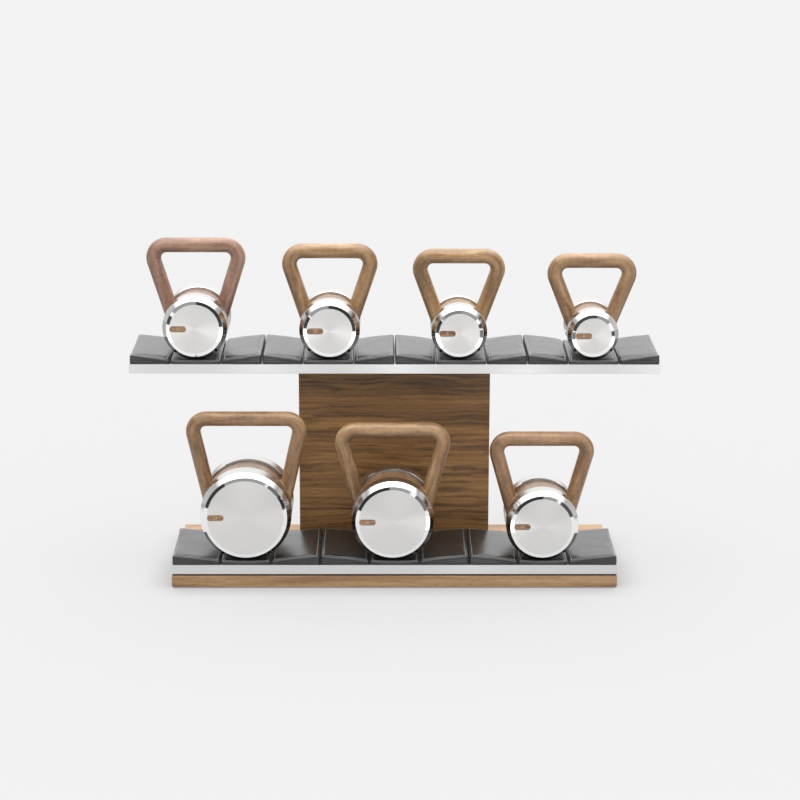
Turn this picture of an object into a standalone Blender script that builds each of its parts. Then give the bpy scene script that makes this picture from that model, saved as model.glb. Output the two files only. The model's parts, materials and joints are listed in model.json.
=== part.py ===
"""Two-tier kettlebell rack with seven kettlebells.

A walnut plank carries a lower shelf plate with leather pads and a veneered column. A steel mast in
the column holds a second, longer shelf plate. Each kettlebell is a walnut handle and hub between two
turned steel weights, clamped by a stud, and rests on the seat pad of its own station.

Metres, +Z up, +Y to the back. The origin is on the floor, in the middle of the base plank.
"""
import bmesh
import bpy
from math import asin, atan2, cos, hypot, pi, radians, sin, sqrt
from mathutils import Vector

# ---- driving dimensions -------------------------------------------------------------------------

TOUCH_GAP = 0.0003          # between pieces that rest on or against each other

# base
PLANK_REAR_MARGIN = 0.029   # behind the column
PLANK_THICKNESS = 0.0245
PLANK_END_CHAMFER = 0.003
FOOT_STRIP_THICKNESS = 0.002
FOOT_STRIP_WIDTH = 0.030
FOOT_STRIP_INSET = 0.020
SPACER_THICKNESS = 0.004
SPACER_INSET = 0.002

# shelf plates and their pads
SHELF_DEPTH = 0.198
SHELF_THICKNESS = 0.020
UPPER_SHELF_LENGTH = 1.100
LOWER_SHELF_LENGTH = 0.930
UPPER_STATIONS = 4
LOWER_STATIONS = 3
UPPER_SHELF_BOTTOM = 0.444
UPPER_SHELF_SETBACK = 0.070     # from the lower shelf's front to the upper shelf's front
SEAT_WIDTH = 0.105
PAD_GAP = 0.0016
PAD_EDGE_INSET = 0.0008     # pads behind the shelf plate's edges
WING_OUTER_RISE = 0.0195    # pad tops above the shelf plate
WING_INNER_RISE = 0.0090
SEAT_EDGE_RISE = 0.0085
SEAT_CENTRE_RISE = 0.0060

# column and mast
COLUMN_WIDTH = 0.408
COLUMN_DEPTH = 0.120
COLUMN_GAP_TO_SHELF = 0.010
PANEL_THICKNESS = 0.015
HEAD_PLATE_THICKNESS = 0.008
HEAD_PLATE_REACH = 0.100    # how far it reaches in front of the column
FOOT_PLATE_THICKNESS = 0.006
MAST_CLEARANCE = 0.004      # between the mast and the panels round it
POST_SPACING = 0.250
POST_WIDTH = 0.040
POST_DEPTH = 0.050
POST_WALL = 0.005

# kettlebells
HANDLE_DIAMETER = 0.031
HANDLE_CORNER_RADIUS = 0.027
HUB_WIDTH = 0.060
HUB_INSET = 0.0045          # hub radius below the weights' radius
LEG_INSET = 0.0025          # leg surface below the hub's rim where the two meet
WEIGHT_RING = 0.0100        # polished ring round the turned face
WEIGHT_RING_FALL = 0.0012
WEIGHT_BEVEL_WIDTH = 0.0063
WEIGHT_BEVEL_LENGTH = 0.0190
WEIGHT_SETBACK = 0.003      # front face behind the shelf's front
STUD_DIAMETER = 0.016
STUD_CLEARANCE = 0.0004
STUD_GRIP = 0.028           # length of stud in each weight

# number: (tier, station, offset from the station's middle, weight radius, weight thickness,
#          handle width, handle top above the axis)
KETTLEBELLS = {
    1: ("upper", 0, -0.001, 0.0670, 0.048, 0.2065, 0.1775),
    2: ("upper", 1, 0.0025, 0.0628, 0.041, 0.199, 0.1705),
    3: ("upper", 2, -0.004, 0.0578, 0.041, 0.1925, 0.165),
    4: ("upper", 3, -0.002, 0.0530, 0.040, 0.186, 0.1605),
    5: ("lower", 0, 0.0, 0.0950, 0.052, 0.253, 0.207),
    6: ("lower", 1, -0.004, 0.0855, 0.046, 0.2415, 0.1945),
    7: ("lower", 2, -0.002, 0.0755, 0.043, 0.219, 0.186),
}

# facets
TURNED_SIDES = 32
TUBE_SIDES = 12
CORNER_STEPS = 6
STUD_SIDES = 12
SEAT_STEPS = 8

# ---- derived places -----------------------------------------------------------------------------

PLANK_DEPTH = SHELF_DEPTH + COLUMN_GAP_TO_SHELF + COLUMN_DEPTH + PLANK_REAR_MARGIN
PLANK_FRONT = -PLANK_DEPTH / 2
PLANK_TOP = FOOT_STRIP_THICKNESS + PLANK_THICKNESS
LOWER_SHELF_BOTTOM = PLANK_TOP + SPACER_THICKNESS
COLUMN_FRONT = PLANK_FRONT + SHELF_DEPTH + COLUMN_GAP_TO_SHELF
COLUMN_TOP = UPPER_SHELF_BOTTOM - HEAD_PLATE_THICKNESS

TIERS = {
    # name: (front y, shelf bottom z, length, stations)
    "lower": (PLANK_FRONT, LOWER_SHELF_BOTTOM, LOWER_SHELF_LENGTH, LOWER_STATIONS),
    "upper": (PLANK_FRONT + UPPER_SHELF_SETBACK, UPPER_SHELF_BOTTOM, UPPER_SHELF_LENGTH, UPPER_STATIONS),
}


def station_centre(tier, station):
    """X of the middle of a station's seat pad."""
    _, _, length, stations = TIERS[tier]
    pitch = length / stations
    return (station + 0.5) * pitch - length / 2


# ---- helpers ------------------------------------------------------------------------------------

def material(name, colour, roughness, metallic=0.0):
    mat = bpy.data.materials.new(name)
    mat.use_nodes = True
    shader = mat.node_tree.nodes["Principled BSDF"]
    shader.inputs["Base Color"].default_value = (*colour, 1.0)
    shader.inputs["Roughness"].default_value = roughness
    shader.inputs["Metallic"].default_value = metallic
    mat.diffuse_color = (*colour, 1.0)
    return mat


def add_object(name, bm, mat, location=(0, 0, 0), parent=None, smooth=False):
    """Turn a bmesh into a named object whose faces point out."""
    bmesh.ops.recalc_face_normals(bm, faces=bm.faces)
    mesh = bpy.data.meshes.new(name)
    bm.to_mesh(mesh)
    bm.free()
    if smooth:
        mesh.shade_smooth()
        mesh.set_sharp_from_angle(angle=radians(30))
    if mat:
        mesh.materials.append(mat)
    obj = bpy.data.objects.new(name, mesh)
    bpy.context.scene.collection.objects.link(obj)
    obj.location = location
    obj.parent = parent
    return obj


def box(low, high):
    bm = bmesh.new()
    bmesh.ops.create_cube(bm, size=1.0)
    low, high = Vector(low), Vector(high)
    for vert in bm.verts:
        vert.co = low + Vector((vert.co[i] + 0.5) * (high - low)[i] for i in range(3))
    return bm


def extruded(outline, axis, start, end):
    """A prism: a closed 2-D outline swept along Y (outline in X, Z) or Z (outline in X, Y)."""
    bm = bmesh.new()
    if axis == "Y":
        verts = [bm.verts.new((u, start, v)) for u, v in outline]
        step = Vector((0, end - start, 0))
    else:
        verts = [bm.verts.new((u, v, start)) for u, v in outline]
        step = Vector((0, 0, end - start))
    face = bm.faces.new(verts)
    swept = bmesh.ops.extrude_face_region(bm, geom=[face])
    moved = [item for item in swept["geom"] if isinstance(item, bmesh.types.BMVert)]
    bmesh.ops.translate(bm, verts=moved, vec=step)
    return bm


def turned(profile, sides):
    """A solid of revolution about Y. The profile is (radius, y) and starts and ends on the axis."""
    bm = bmesh.new()
    rings = []
    for radius, y in profile:
        if radius == 0:
            rings.append([bm.verts.new((0, y, 0))])
        else:
            turn = [2 * pi * i / sides for i in range(sides)]
            rings.append([bm.verts.new((radius * cos(a), y, radius * sin(a))) for a in turn])
    for ring_a, ring_b in zip(rings, rings[1:]):
        for i in range(sides):
            j = (i + 1) % sides
            if len(ring_a) == 1:
                bm.faces.new((ring_a[0], ring_b[i], ring_b[j]))
            elif len(ring_b) == 1:
                bm.faces.new((ring_a[i], ring_a[j], ring_b[0]))
            else:
                bm.faces.new((ring_a[i], ring_a[j], ring_b[j], ring_b[i]))
    return bm


def tube(path, radius, sides):
    """A capped tube along a path of (x, z, tangent angle) in the plane y = 0."""
    bm = bmesh.new()
    rings = []
    for x, z, angle in path:
        across = Vector((-sin(angle), 0, cos(angle)))
        turn = [2 * pi * i / sides for i in range(sides)]
        rings.append([
            bm.verts.new(Vector((x, 0, z)) + across * radius * cos(a) + Vector((0, radius * sin(a), 0)))
            for a in turn
        ])
    for ring_a, ring_b in zip(rings, rings[1:]):
        for i in range(sides):
            j = (i + 1) % sides
            bm.faces.new((ring_a[i], ring_a[j], ring_b[j], ring_b[i]))
    bm.faces.new(rings[0])
    bm.faces.new(rings[-1])
    return bm


def guide(name, bm, location=(0, 0, 0), parent=None):
    """A cutter or an added shape for a Boolean. It isn't a piece of the object."""
    obj = add_object(name, bm, None, location, parent)
    obj.hide_render = True
    obj.display_type = "WIRE"
    return obj


def boolean(obj, other, operation):
    modifier = obj.modifiers.new(other.name, "BOOLEAN")
    modifier.operation = operation
    modifier.object = other


# ---- base and shelves ---------------------------------------------------------------------------

def make_base(mats):
    half = LOWER_SHELF_LENGTH / 2
    chamfer = PLANK_END_CHAMFER
    low = FOOT_STRIP_THICKNESS
    outline = [
        (-half + chamfer, low), (half - chamfer, low), (half, low + chamfer),
        (half, PLANK_TOP), (-half, PLANK_TOP), (-half, low + chamfer),
    ]
    plank = extruded(outline, "Y", PLANK_FRONT, -PLANK_FRONT)
    add_object("base_plank", plank, mats["walnut"])

    strip_half = half - FOOT_STRIP_INSET
    strip_front = PLANK_FRONT + FOOT_STRIP_INSET
    for name, side in (("front_foot_strip", 1), ("rear_foot_strip", -1)):
        ends = sorted((side * strip_front, side * (strip_front + FOOT_STRIP_WIDTH)))
        strip = box((-strip_half, ends[0], 0), (strip_half, ends[1], low - TOUCH_GAP))
        add_object(name, strip, mats["rubber"])

    spacer = box(
        (-half + SPACER_INSET, PLANK_FRONT + SPACER_INSET, PLANK_TOP + TOUCH_GAP),
        (half - SPACER_INSET, PLANK_FRONT + SHELF_DEPTH - SPACER_INSET, LOWER_SHELF_BOTTOM - TOUCH_GAP),
    )
    add_object("base_spacer", spacer, mats["black"])


def make_shelf_plate(tier, mats):
    front, bottom, length, _ = TIERS[tier]
    half = length / 2
    plate = box((-half, front, bottom), (half, front + SHELF_DEPTH, bottom + SHELF_THICKNESS))
    add_object(f"{tier}_shelf_plate", plate, mats["aluminium"])


def seat_outline(left, right, shelf_top):
    """A seat pad's section, with a shallow hollow along its top."""
    half = (right - left) / 2
    centre = (right + left) / 2
    dip = SEAT_EDGE_RISE - SEAT_CENTRE_RISE
    hollow_radius = (half * half + dip * dip) / (2 * dip)
    top = []
    for i in range(SEAT_STEPS + 1):
        x = right - 2 * half * i / SEAT_STEPS
        sag = hollow_radius - sqrt(hollow_radius ** 2 - (x - centre) ** 2)
        top.append((x, shelf_top + SEAT_CENTRE_RISE + sag))
    low = shelf_top + TOUCH_GAP
    return [(left, low), (right, low)] + top


def make_pads(tier, mats):
    """Each station has a seat between two wings that slope down to it."""
    front, bottom, length, stations = TIERS[tier]
    pitch = length / stations
    shelf_top = bottom + SHELF_THICKNESS
    low = shelf_top + TOUCH_GAP
    pad_front = front + PAD_EDGE_INSET
    pad_rear = front + SHELF_DEPTH - PAD_EDGE_INSET
    for station in range(stations):
        centre = station_centre(tier, station)
        for side, name in ((-1, "left_wing"), (1, "right_wing")):
            x_inner = centre + side * (SEAT_WIDTH / 2 + PAD_GAP / 2)
            x_outer = centre + side * (pitch / 2 - PAD_GAP / 2)
            outline = [
                (x_inner, low), (x_outer, low),
                (x_outer, shelf_top + WING_OUTER_RISE), (x_inner, shelf_top + WING_INNER_RISE),
            ]
            wing = extruded(outline, "Y", pad_front, pad_rear)
            add_object(f"{tier}_{name}_{station + 1}", wing, mats["leather"])
        half = SEAT_WIDTH / 2 - PAD_GAP / 2
        outline = seat_outline(centre - half, centre + half, shelf_top)
        seat = extruded(outline, "Y", pad_front, pad_rear)
        add_object(f"{tier}_seat_{station + 1}", seat, mats["leather"])


# ---- column and mast ----------------------------------------------------------------------------

def make_column(mats):
    half = COLUMN_WIDTH / 2
    rear = COLUMN_FRONT + COLUMN_DEPTH
    low = PLANK_TOP + TOUCH_GAP
    high = COLUMN_TOP - TOUCH_GAP
    side_front = COLUMN_FRONT + PANEL_THICKNESS + TOUCH_GAP
    side_rear = rear - PANEL_THICKNESS - TOUCH_GAP
    panels = {
        "column_front_panel": ((-half, COLUMN_FRONT), (half, COLUMN_FRONT + PANEL_THICKNESS)),
        "column_rear_panel": ((-half, rear - PANEL_THICKNESS), (half, rear)),
        "column_left_panel": ((-half, side_front), (-half + PANEL_THICKNESS, side_rear)),
        "column_right_panel": ((half - PANEL_THICKNESS, side_front), (half, side_rear)),
    }
    for name, (corner_a, corner_b) in panels.items():
        add_object(name, box((*corner_a, low), (*corner_b, high)), mats["walnut_dark"])


def make_mast(mats):
    """Foot plate, two channel posts and head plate, welded into one piece."""
    rear = COLUMN_FRONT + COLUMN_DEPTH
    foot_half = COLUMN_WIDTH / 2 - PANEL_THICKNESS - MAST_CLEARANCE
    foot_front = COLUMN_FRONT + PANEL_THICKNESS + MAST_CLEARANCE
    foot_rear = rear - PANEL_THICKNESS - MAST_CLEARANCE
    foot_low = PLANK_TOP + TOUCH_GAP
    head_low = COLUMN_TOP
    head = box(
        (-COLUMN_WIDTH / 2, COLUMN_FRONT - HEAD_PLATE_REACH, head_low),
        (COLUMN_WIDTH / 2, rear, UPPER_SHELF_BOTTOM - TOUCH_GAP),
    )
    mast = add_object("mast_frame", head, mats["steel"])
    foot = box((-foot_half, foot_front, foot_low), (foot_half, foot_rear, foot_low + FOOT_PLATE_THICKNESS))
    boolean(mast, guide("foot_plate_guide", foot), "UNION")

    weld = 0.001            # the posts run this far into both plates
    centre_y = (foot_front + foot_rear) / 2
    for side, name in ((-1, "left_post_guide"), (1, "right_post_guide")):
        web = side * (POST_SPACING / 2 + POST_WIDTH / 2)
        toe = side * (POST_SPACING / 2 - POST_WIDTH / 2)
        inner_web = web - side * POST_WALL
        front, back = centre_y - POST_DEPTH / 2, centre_y + POST_DEPTH / 2
        outline = [
            (web, front), (toe, front), (toe, front + POST_WALL), (inner_web, front + POST_WALL),
            (inner_web, back - POST_WALL), (toe, back - POST_WALL), (toe, back), (web, back),
        ]
        post = extruded(outline, "Z", foot_low + FOOT_PLATE_THICKNESS - weld, head_low + weld)
        boolean(mast, guide(name, post), "UNION")


# ---- kettlebells --------------------------------------------------------------------------------

def handle_path(width, rise, hub_radius):
    """The loop's centre line, from the left leg's end over the top to the right leg's end.

    Each leg is the outer tangent of the corner's circle and of a circle about the hub's axis.
    """
    half = HANDLE_DIAMETER / 2
    leg_distance = hub_radius - half - LEG_INSET
    corner_x = width / 2 - half - HANDLE_CORNER_RADIUS
    corner_z = rise - half - HANDLE_CORNER_RADIUS
    reach = hypot(corner_x, corner_z)
    lean = atan2(corner_x, corner_z) - asin((leg_distance - HANDLE_CORNER_RADIUS) / reach)
    right = []
    for i in range(CORNER_STEPS + 1):
        outward = pi / 2 - (pi / 2 + lean) * i / CORNER_STEPS
        x = corner_x + HANDLE_CORNER_RADIUS * cos(outward)
        z = corner_z + HANDLE_CORNER_RADIUS * sin(outward)
        right.append((x, z, outward - pi / 2))
    right.append((leg_distance * cos(lean), -leg_distance * sin(lean), -lean - pi / 2))
    left = [(-x, z, -angle) for x, z, angle in reversed(right)]
    return left + right


def make_handle(name, width, rise, radius, mats, parent):
    hub_radius = radius - HUB_INSET
    loop = tube(handle_path(width, rise, hub_radius), HANDLE_DIAMETER / 2, TUBE_SIDES)
    handle = add_object(name, loop, mats["walnut"], parent=parent, smooth=True)
    half = HUB_WIDTH / 2
    hub = turned([(0, -half), (hub_radius, -half), (hub_radius, half), (0, half)], TURNED_SIDES)
    boolean(handle, guide(f"{name}_hub_guide", hub, parent=parent), "UNION")
    bore_radius = STUD_DIAMETER / 2 + STUD_CLEARANCE
    past = half + 0.01
    bore = turned([(0, -past), (bore_radius, -past), (bore_radius, past), (0, past)], STUD_SIDES)
    boolean(handle, guide(f"{name}_bore_guide", bore, parent=parent), "DIFFERENCE")


def weight_profile(radius, thickness):
    """(radius, distance from the outer face), from the face's centre round to the blind bore's end."""
    ring_outer = radius - WEIGHT_BEVEL_WIDTH
    face = ring_outer - WEIGHT_RING
    bore = STUD_DIAMETER / 2 + STUD_CLEARANCE
    bore_end = thickness - STUD_GRIP - STUD_CLEARANCE
    return [
        (0, 0), (face, 0), (ring_outer, WEIGHT_RING_FALL),
        (radius, WEIGHT_RING_FALL + WEIGHT_BEVEL_LENGTH), (radius, thickness),
        (bore, thickness), (bore, bore_end), (0, bore_end),
    ]


def make_kettlebell(number, mats):
    tier, station, offset, radius, thickness, width, rise = KETTLEBELLS[number]
    front, bottom, _, _ = TIERS[tier]
    axis_z = bottom + SHELF_THICKNESS + SEAT_CENTRE_RISE + TOUCH_GAP + radius
    middle_y = front + WEIGHT_SETBACK + thickness + TOUCH_GAP + HUB_WIDTH / 2
    name = f"kettlebell_{number}"
    place = bpy.data.objects.new(f"{name}_place", None)
    bpy.context.scene.collection.objects.link(place)
    place.location = (station_centre(tier, station) + offset, middle_y, axis_z)

    make_handle(f"{name}_handle", width, rise, radius, mats, place)
    inner_face = HUB_WIDTH / 2 + TOUCH_GAP
    outer_face = inner_face + thickness
    profile = weight_profile(radius, thickness)
    front_profile = [(r, d - outer_face) for r, d in profile]
    rear_profile = [(r, outer_face - d) for r, d in profile]
    for side, side_profile in (("front", front_profile), ("rear", rear_profile)):
        weight = turned(side_profile, TURNED_SIDES)
        add_object(f"{name}_{side}_weight", weight, mats["stainless"], parent=place, smooth=True)
    stud_half = inner_face + STUD_GRIP
    stud_radius = STUD_DIAMETER / 2
    ends = [(0, -stud_half), (stud_radius, -stud_half), (stud_radius, stud_half), (0, stud_half)]
    stud = turned(ends, STUD_SIDES)
    add_object(f"{name}_stud", stud, mats["steel"], parent=place, smooth=True)


def main():
    for obj in list(bpy.data.objects):
        bpy.data.objects.remove(obj, do_unlink=True)
    mats = {
        "walnut": material("walnut", (0.33, 0.19, 0.11), 0.45),
        "walnut_dark": material("walnut_dark", (0.17, 0.09, 0.045), 0.5),
        "aluminium": material("aluminium", (0.62, 0.62, 0.64), 0.35, 1.0),
        "stainless": material("stainless", (0.70, 0.70, 0.71), 0.2, 1.0),
        "steel": material("steel", (0.12, 0.12, 0.13), 0.5, 1.0),
        "leather": material("leather", (0.05, 0.05, 0.055), 0.5),
        "rubber": material("rubber", (0.02, 0.02, 0.02), 0.8),
        "black": material("black", (0.01, 0.01, 0.01), 0.6),
    }
    make_base(mats)
    for tier in TIERS:
        make_shelf_plate(tier, mats)
        make_pads(tier, mats)
    make_column(mats)
    make_mast(mats)
    for number in KETTLEBELLS:
        make_kettlebell(number, mats)


main()
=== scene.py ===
"""Two-tier kettlebell rack with seven kettlebells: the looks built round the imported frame.

Laid out as a Blender add-on and run as a script: it registers its classes and calls each operator once.
Everything is in metres, in the frame's own axes: the rack faces -Y and stands on z = 0.
"""

import json
from contextlib import contextmanager
from math import asin, atan2, cos, exp, hypot, pi, radians, sin, sqrt

import bmesh
import bpy
import numpy as np
from bpy.props import FloatProperty, FloatVectorProperty, IntProperty, PointerProperty
from mathutils import Matrix, Vector, noise
from mathutils.bvhtree import BVHTree
from mathutils.kdtree import KDTree

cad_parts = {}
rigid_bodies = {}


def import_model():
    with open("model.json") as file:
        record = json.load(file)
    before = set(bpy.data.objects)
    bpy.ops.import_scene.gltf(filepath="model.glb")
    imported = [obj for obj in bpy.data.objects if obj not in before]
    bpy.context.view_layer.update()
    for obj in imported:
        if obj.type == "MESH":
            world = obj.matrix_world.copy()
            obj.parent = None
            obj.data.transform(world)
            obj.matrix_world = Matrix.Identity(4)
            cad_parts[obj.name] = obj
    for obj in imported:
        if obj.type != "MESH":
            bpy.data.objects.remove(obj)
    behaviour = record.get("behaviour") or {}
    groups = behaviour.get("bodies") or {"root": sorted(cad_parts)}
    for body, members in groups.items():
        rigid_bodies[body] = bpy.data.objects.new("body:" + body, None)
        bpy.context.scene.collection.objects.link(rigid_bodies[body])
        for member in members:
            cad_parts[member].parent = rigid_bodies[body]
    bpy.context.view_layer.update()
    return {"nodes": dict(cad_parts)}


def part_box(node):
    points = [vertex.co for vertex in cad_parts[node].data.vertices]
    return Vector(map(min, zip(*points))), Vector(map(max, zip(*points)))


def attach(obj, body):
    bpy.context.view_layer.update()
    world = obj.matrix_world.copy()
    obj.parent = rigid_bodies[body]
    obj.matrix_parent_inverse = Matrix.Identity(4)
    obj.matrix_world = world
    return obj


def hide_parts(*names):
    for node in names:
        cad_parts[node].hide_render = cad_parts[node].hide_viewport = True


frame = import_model()
NODES = frame["nodes"]

bl_info = {
    "name": "Kettlebell rack",
    "version": (1, 0, 0),
    "blender": (4, 5, 0),
    "location": "View3D > Sidebar > Rack",
    "description": "Builds a walnut, steel and leather kettlebell rack round its packed frame",
    "category": "Object",
}

STATIONS = {"upper": 4, "lower": 3}
BELLS = range(1, 8)
MARKS = {1: "12", 2: "10", 3: "8", 4: "6", 5: "24", 6: "20", 7: "16"}
# How golden each handle's timber is: 0 is pinkish brown and 1 is golden.
GOLDEN = {1: 0.05, 2: 0.90, 3: 1.00, 4: 0.75, 5: 0.70, 6: 0.80, 7: 0.65}


# ---- colours and nodes --------------------------------------------------------------------------

def linear(hex_colour):
    """An sRGB hex colour as linear red, green, blue and alpha."""
    channels = [int(hex_colour[i:i + 2], 16) / 255 for i in (1, 3, 5)]
    return tuple(c / 12.92 if c <= 0.04045 else ((c + 0.055) / 1.055) ** 2.4 for c in channels) + (1.0,)


def grey(value):
    return (value, value, value, 1.0)


def feed(tree, node, inputs):
    """Gives a node its inputs, each a value or another node's output."""
    for key, value in inputs.items():
        if isinstance(value, bpy.types.NodeSocket):
            tree.links.new(value, node.inputs[key])
        else:
            node.inputs[key].default_value = value


def add(tree, kind, inputs=None, stops=None, **choices):
    """Adds a node with its settings, its colour stops and its inputs."""
    node = tree.nodes.new(kind)
    for name, value in choices.items():
        setattr(node, name, value)
    if stops:
        elements = node.color_ramp.elements
        while len(elements) < len(stops):
            elements.new(0.5)
        for element, (position, shade) in zip(elements, stops):
            element.position = position
            element.color = shade
    feed(tree, node, inputs or {})
    return node


def empty_material(name):
    """A node material with nothing in its tree yet."""
    mat = bpy.data.materials.new(name)
    mat.use_nodes = True
    mat.node_tree.nodes.clear()
    return mat, mat.node_tree


def shaded_material(name):
    """A node material, its tree, and its Principled shader already joined to the output."""
    mat, tree = empty_material(name)
    shader = add(tree, "ShaderNodeBsdfPrincipled")
    add(tree, "ShaderNodeOutputMaterial", {"Surface": shader.outputs[0]})
    return mat, tree, shader


MIX_FACTOR, MIX_A, MIX_B, MIX_RESULT = 0, 6, 7, 2     # a colour Mix node's sockets


def walnut(name, ramps, along, across, wander, roughness, grain=None, curl=0.0, turn=0.0):
    """Walnut with its grain along the first coordinate, oiled to a satin finish.

    ramps is one or two sets of dark, middle and light hex colours: a piece's "golden" attribute mixes the second in.
    along and across are the lengths in metres over which the streaks change, and wander is how far they stray.
    grain names an attribute that holds the coordinates, for a piece whose grain follows its own line.
    turn is an angle about the vertical, for a panel whose grain doesn't run along X.
    """
    mat, tree, shader = shaded_material(name)
    if grain:
        place = add(tree, "ShaderNodeAttribute", attribute_name=grain).outputs["Vector"]
    else:
        place = add(tree, "ShaderNodeTexCoord").outputs["Object"]
    if turn:
        place = add(tree, "ShaderNodeMapping", {"Vector": place, "Rotation": (0.0, 0.0, turn)}).outputs[0]
    # The grain strays slowly as it runs.
    slow = add(tree, "ShaderNodeMapping", {"Vector": place, "Scale": (1.4 / along, 0.06 / across, 0.06 / across)})
    stray = add(tree, "ShaderNodeTexNoise", {"Vector": slow.outputs[0], "Scale": 1.0, "Detail": 3.0})
    shift = add(tree, "ShaderNodeVectorMath", {0: stray.outputs["Color"], 1: (0.5, 0.5, 0.5)}, operation="SUBTRACT")
    strayed = add(tree, "ShaderNodeVectorMath", {0: shift.outputs[0], 1: (0.0, wander, wander), 2: place},
                  operation="MULTIPLY_ADD").outputs[0]
    # Growth rings: streaks a few millimetres wide.
    ring_place = add(tree, "ShaderNodeMapping", {"Vector": strayed, "Scale": (1 / along, 1 / across, 1 / across)})
    rings = add(tree, "ShaderNodeTexNoise", {"Vector": ring_place.outputs[0], "Scale": 1.0, "Detail": 4.0,
                                             "Roughness": 0.55, "Distortion": 0.25}).outputs["Fac"]
    # Broad bands of lighter and darker timber.
    band_place = add(tree, "ShaderNodeMapping", {"Vector": strayed,
                                                 "Scale": (0.35 / along, 0.16 / across, 0.16 / across)})
    broad = add(tree, "ShaderNodeTexNoise", {"Vector": band_place.outputs[0], "Scale": 1.0, "Detail": 2.0})
    figure = [(broad.outputs["Fac"], 0.55)]
    if curl:
        # Curly figure: faint bars across the grain, about 14 mm apart.
        bars = add(tree, "ShaderNodeTexWave", {"Vector": place, "Scale": 22.0, "Distortion": 3.5, "Detail": 2.0,
                                               "Detail Scale": 3.0}, bands_direction="X")
        figure.append((bars.outputs["Fac"], curl))
    if len(ramps) == 2:
        # Each stave of a glued-up piece has its own depth of colour.
        stave = add(tree, "ShaderNodeAttribute", attribute_name="stave")
        figure.append((stave.outputs["Fac"], 0.2))
    level = rings
    for value, amount in figure:
        part = add(tree, "ShaderNodeMath", {0: value, 1: amount, 2: -amount / 2}, operation="MULTIPLY_ADD")
        level = add(tree, "ShaderNodeMath", {0: level, 1: part.outputs[0]}, operation="ADD").outputs[0]
    colours = [
        add(tree, "ShaderNodeValToRGB", {"Fac": level}, stops=list(zip((0.28, 0.5, 0.72), map(linear, ramp))))
        for ramp in ramps
    ]
    colour = colours[0].outputs["Color"]
    if len(ramps) == 2:
        golden = add(tree, "ShaderNodeAttribute", attribute_name="golden").outputs["Fac"]
        colour = add(tree, "ShaderNodeMix", {MIX_FACTOR: golden, MIX_A: colour, MIX_B: colours[1].outputs["Color"]},
                     data_type="RGBA").outputs[MIX_RESULT]
    # Open pores: short dark dashes, drawn near 1 mm wide so that they show.
    pore_place = add(tree, "ShaderNodeMapping", {"Vector": strayed, "Scale": (60.0, 800.0, 800.0)})
    pores = add(tree, "ShaderNodeTexNoise", {"Vector": pore_place.outputs[0], "Scale": 1.0, "Detail": 2.0})
    open_pore = add(tree, "ShaderNodeMapRange", {"Value": pores.outputs["Fac"], "From Min": 0.32, "From Max": 0.46})
    shade = add(tree, "ShaderNodeValToRGB", {"Fac": open_pore.outputs[0]}, stops=[(0.0, grey(0.68)), (1.0, grey(1.0))])
    pored = add(tree, "ShaderNodeMix", {MIX_FACTOR: 1.0, MIX_A: colour, MIX_B: shade.outputs["Color"]},
                data_type="RGBA", blend_type="MULTIPLY")
    gloss = add(tree, "ShaderNodeMapRange", {"Value": rings, "To Min": roughness + 0.08,
                                             "To Max": roughness - 0.06})
    relief = add(tree, "ShaderNodeMath", {0: open_pore.outputs[0], 1: 0.6, 2: rings}, operation="MULTIPLY_ADD")
    bump = add(tree, "ShaderNodeBump", {"Height": relief.outputs[0], "Distance": 0.0003, "Strength": 0.4})
    feed(tree, shader, {"Base Color": pored.outputs[MIX_RESULT], "Roughness": gloss.outputs[0],
                        "Normal": bump.outputs[0]})
    if grain:
        feed(tree, shader, {"Coat Weight": 0.4, "Coat Roughness": 0.25})
    return mat


def leather(name, colour):
    """Black upholstery leather, pebbled and lightly finished: it is near black, and shines pale at a low angle."""
    mat, tree, shader = shaded_material(name)
    place = add(tree, "ShaderNodeTexCoord").outputs["Object"]
    # Pebbles near 1.3 mm across.
    pebbles = add(tree, "ShaderNodeTexVoronoi", {"Vector": place, "Scale": 760.0}, feature="SMOOTH_F1")
    creases = add(tree, "ShaderNodeTexNoise", {"Vector": place, "Scale": 160.0, "Detail": 4.0}).outputs["Fac"]
    patches = add(tree, "ShaderNodeTexNoise", {"Vector": place, "Scale": 22.0, "Detail": 3.0}).outputs["Fac"]
    tint = add(tree, "ShaderNodeMapRange", {"Value": patches, "From Min": 0.3, "From Max": 0.7,
                                            "To Min": 0.75, "To Max": 1.3})
    tinted = add(tree, "ShaderNodeVectorMath", {0: linear(colour)[:3], "Scale": tint.outputs[0]}, operation="SCALE")
    gloss = add(tree, "ShaderNodeMapRange", {"Value": creases, "From Min": 0.3, "From Max": 0.7,
                                             "To Min": 0.28, "To Max": 0.34})
    relief = add(tree, "ShaderNodeMath", {0: creases, 1: 0.5, 2: pebbles.outputs["Distance"]},
                 operation="MULTIPLY_ADD")
    bump = add(tree, "ShaderNodeBump", {"Height": relief.outputs[0], "Distance": 0.0001, "Strength": 0.12})
    feed(tree, shader, {
        "Base Color": tinted.outputs[0], "Roughness": gloss.outputs[0], "Normal": bump.outputs[0],
        "Specular IOR Level": 0.55, "Coat Weight": 0.5, "Coat Roughness": 0.3, "Sheen Weight": 0.08,
        "Sheen Roughness": 0.4})
    return mat


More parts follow.
